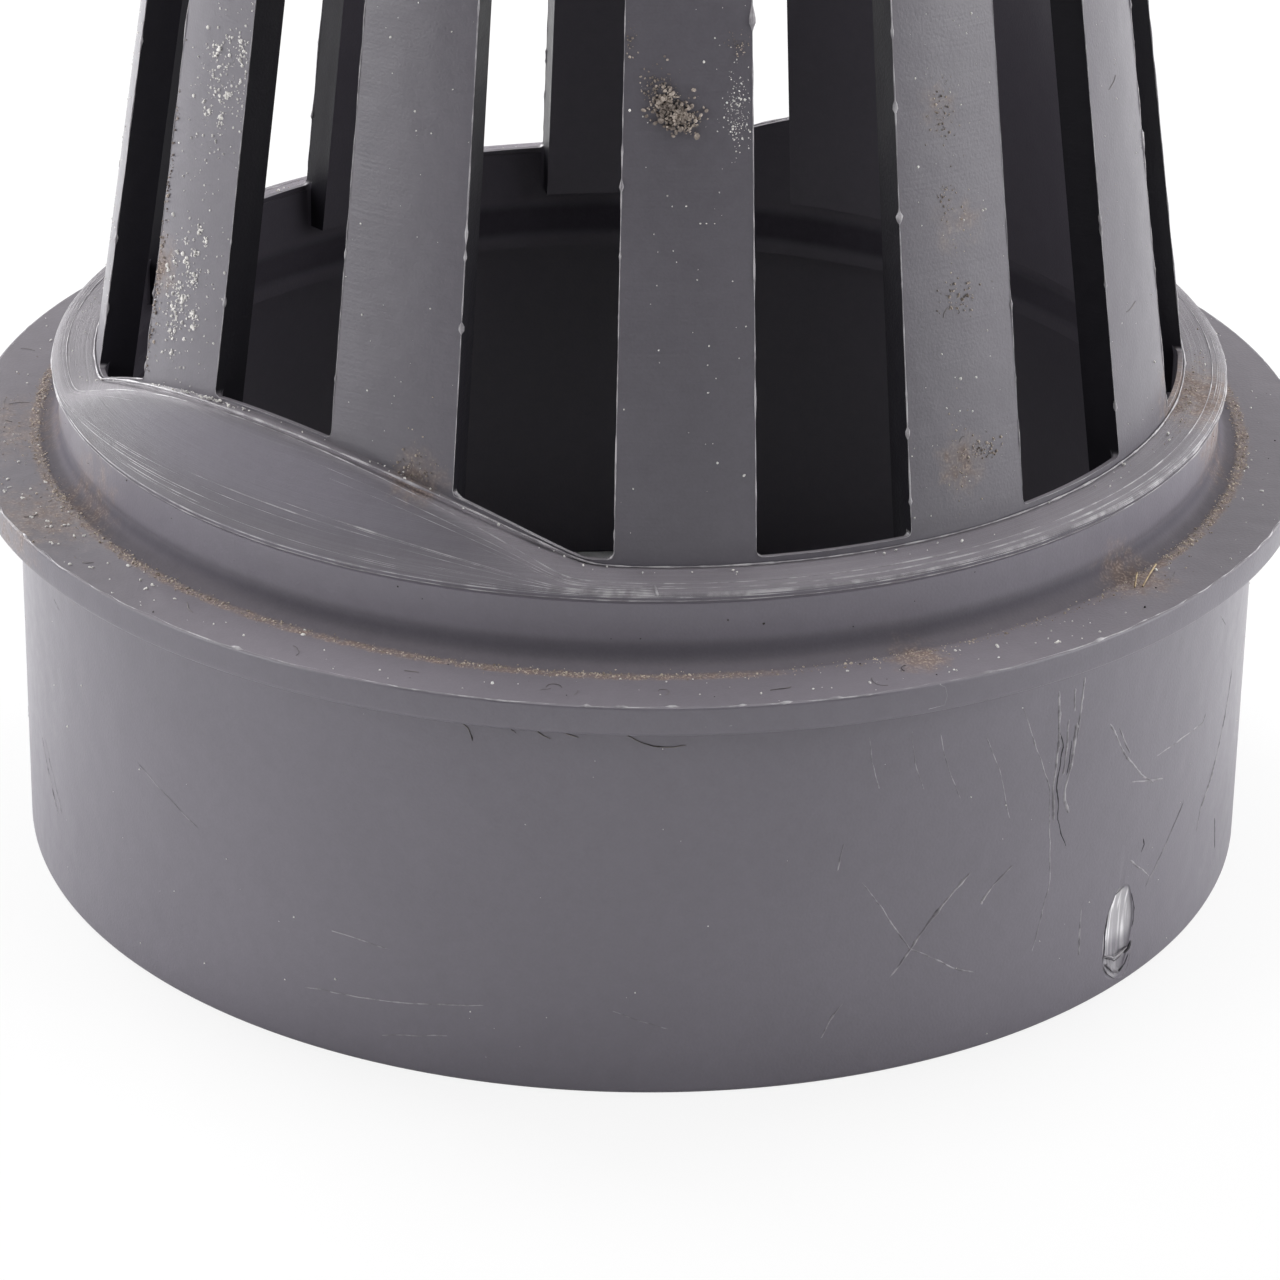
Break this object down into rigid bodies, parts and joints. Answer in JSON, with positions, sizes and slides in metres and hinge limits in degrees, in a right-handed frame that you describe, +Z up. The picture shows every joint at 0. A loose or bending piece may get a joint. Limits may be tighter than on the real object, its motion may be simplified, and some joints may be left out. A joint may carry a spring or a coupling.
{
  "type": "atrium grate",
  "caption": "Round domed drain grate moulded in one piece: slatted dome with closed crown, low humps at its foot, flat flange and plain spigot for a drain pipe.",
  "frame": {"origin": "centre of the spigot's open end, on the plane the part stands on", "axes": "+Z up along the part's axis, from the spigot to the crown; -Y towards the side the picture was taken from; +X to the right of that view"},
  "size_m": [0.1182, 0.1182, 0.1141],
  "materials": {
    "grey_plastic": "moulded, dull sheen, scuffed and sandy from use"
  },
  "bodies": {
    "root": {"atrium_grate": "grey_plastic"}
  },
  "joints": []
}
